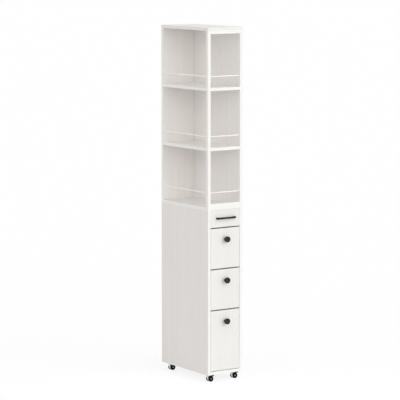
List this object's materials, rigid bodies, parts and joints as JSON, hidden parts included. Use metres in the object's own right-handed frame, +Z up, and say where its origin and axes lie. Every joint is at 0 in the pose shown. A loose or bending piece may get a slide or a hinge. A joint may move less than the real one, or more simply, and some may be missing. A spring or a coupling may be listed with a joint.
{
  "type": "rolling storage cart",
  "caption": "Tall slim white cart with open shelves behind guard rails over a stack of drawers, on swivel casters.",
  "frame": {"origin": "on the floor, under the middle of the cart's outer box, knobs included", "axes": "+Z up; the drawer fronts face -Y; the open long side of the shelves faces -X"},
  "size_m": [0.2, 0.424, 1.7],
  "materials": {
    "board_white": "white laminate board with a fine vertical wood grain",
    "drawer_box": "white melamine drawer board",
    "hardboard_white": "thin white-faced hardboard",
    "dowel_beech": "plain beech",
    "rod_white": "white powder coat",
    "pull_black": "satin black",
    "runner_steel": "white-grey coated steel",
    "caster_zinc": "bright zinc plate",
    "caster_black": "black moulded plastic",
    "brake_black": "black moulded plastic"
  },
  "bodies": {
    "cabinet": {"lid": "board_white", "counter_board": "board_white", "upper_shelf": "board_white", "lower_shelf": "board_white", "base_board": "board_white", "left_side_panel": "board_white", "right_side_panel": "board_white", "upper_back_panel": "board_white", "front_post": "board_white", "top_crossbar": "board_white", "counter_crossbar": "board_white", "lower_back_panel": "hardboard_white", "side_guard_rails": "rod_white", "front_guard_rails": "rod_white", "dowels": "dowel_beech", "top_case_runners": "runner_steel", "upper_case_runners": "runner_steel", "middle_case_runners": "runner_steel", "bottom_case_runners": "runner_steel", "caster_plates": "caster_zinc", "caster_kingpins": "caster_zinc", "caster_screws": "caster_zinc"},
    "top_drawer": {"top_drawer_front": "board_white", "top_drawer_sides": "drawer_box", "top_drawer_back": "drawer_box", "top_drawer_floor": "hardboard_white", "top_drawer_handle": "pull_black", "top_drawer_runners": "runner_steel"},
    "upper_drawer": {"upper_drawer_front": "board_white", "upper_drawer_sides": "drawer_box", "upper_drawer_back": "drawer_box", "upper_drawer_floor": "hardboard_white", "upper_drawer_knob": "pull_black", "upper_drawer_runners": "runner_steel"},
    "middle_drawer": {"middle_drawer_front": "board_white", "middle_drawer_sides": "drawer_box", "middle_drawer_back": "drawer_box", "middle_drawer_floor": "hardboard_white", "middle_drawer_knob": "pull_black", "middle_drawer_runners": "runner_steel"},
    "bottom_drawer": {"bottom_drawer_front": "board_white", "bottom_drawer_sides": "drawer_box", "bottom_drawer_back": "drawer_box", "bottom_drawer_floor": "hardboard_white", "bottom_drawer_knob": "pull_black", "bottom_drawer_runners": "runner_steel"},
    "caster_front_left": {"caster_fork_front_left": "caster_zinc", "caster_axle_front_left": "caster_zinc"},
    "wheel_front_left": {"caster_wheel_front_left": "caster_black"},
    "brake_front_left": {"brake_lever_front_left": "brake_black"},
    "caster_front_right": {"caster_fork_front_right": "caster_zinc", "caster_axle_front_right": "caster_zinc"},
    "wheel_front_right": {"caster_wheel_front_right": "caster_black"},
    "brake_front_right": {"brake_lever_front_right": "brake_black"},
    "caster_rear_left": {"caster_fork_rear_left": "caster_zinc", "caster_axle_rear_left": "caster_zinc"},
    "wheel_rear_left": {"caster_wheel_rear_left": "caster_black"},
    "caster_rear_right": {"caster_fork_rear_right": "caster_zinc", "caster_axle_rear_right": "caster_zinc"},
    "wheel_rear_right": {"caster_wheel_rear_right": "caster_black"}
  },
  "joints": [
    {"name": "top_drawer_slide", "type": "slide", "parent": "cabinet", "child": "top_drawer", "axis": [0, -1, 0], "range_m": [0, 0.25]},
    {"name": "upper_drawer_slide", "type": "slide", "parent": "cabinet", "child": "upper_drawer", "axis": [0, -1, 0], "range_m": [0, 0.25]},
    {"name": "middle_drawer_slide", "type": "slide", "parent": "cabinet", "child": "middle_drawer", "axis": [0, -1, 0], "range_m": [0, 0.25]},
    {"name": "bottom_drawer_slide", "type": "slide", "parent": "cabinet", "child": "bottom_drawer", "axis": [0, -1, 0], "range_m": [0, 0.25]},
    {"name": "swivel_front_left", "type": "hinge", "parent": "cabinet", "child": "caster_front_left", "pos_m": [-0.071, -0.152, 0.033], "axis": [0, 0, 1], "continuous": true},
    {"name": "wheel_turn_front_left", "type": "hinge", "parent": "caster_front_left", "child": "wheel_front_left", "pos_m": [-0.065, -0.152, 0.014], "axis": [0, 1, 0], "continuous": true},
    {"name": "brake_tilt_front_left", "type": "hinge", "parent": "caster_front_left", "child": "brake_front_left", "pos_m": [-0.0555, -0.152, 0.028], "axis": [0, 1, 0], "range_deg": [0, 20]},
    {"name": "swivel_front_right", "type": "hinge", "parent": "cabinet", "child": "caster_front_right", "pos_m": [0.071, -0.152, 0.033], "axis": [0, 0, 1], "continuous": true},
    {"name": "wheel_turn_front_right", "type": "hinge", "parent": "caster_front_right", "child": "wheel_front_right", "pos_m": [0.077, -0.152, 0.014], "axis": [0, 1, 0], "continuous": true},
    {"name": "brake_tilt_front_right", "type": "hinge", "parent": "caster_front_right", "child": "brake_front_right", "pos_m": [0.0865, -0.152, 0.028], "axis": [0, 1, 0], "range_deg": [0, 20]},
    {"name": "swivel_rear_left", "type": "hinge", "parent": "cabinet", "child": "caster_rear_left", "pos_m": [-0.071, 0.176, 0.033], "axis": [0, 0, 1], "continuous": true},
    {"name": "wheel_turn_rear_left", "type": "hinge", "parent": "caster_rear_left", "child": "wheel_rear_left", "pos_m": [-0.065, 0.176, 0.014], "axis": [0, 1, 0], "continuous": true},
    {"name": "swivel_rear_right", "type": "hinge", "parent": "cabinet", "child": "caster_rear_right", "pos_m": [0.071, 0.176, 0.033], "axis": [0, 0, 1], "continuous": true},
    {"name": "wheel_turn_rear_right", "type": "hinge", "parent": "caster_rear_right", "child": "wheel_rear_right", "pos_m": [0.077, 0.176, 0.014], "axis": [0, 1, 0], "continuous": true}
  ]
}
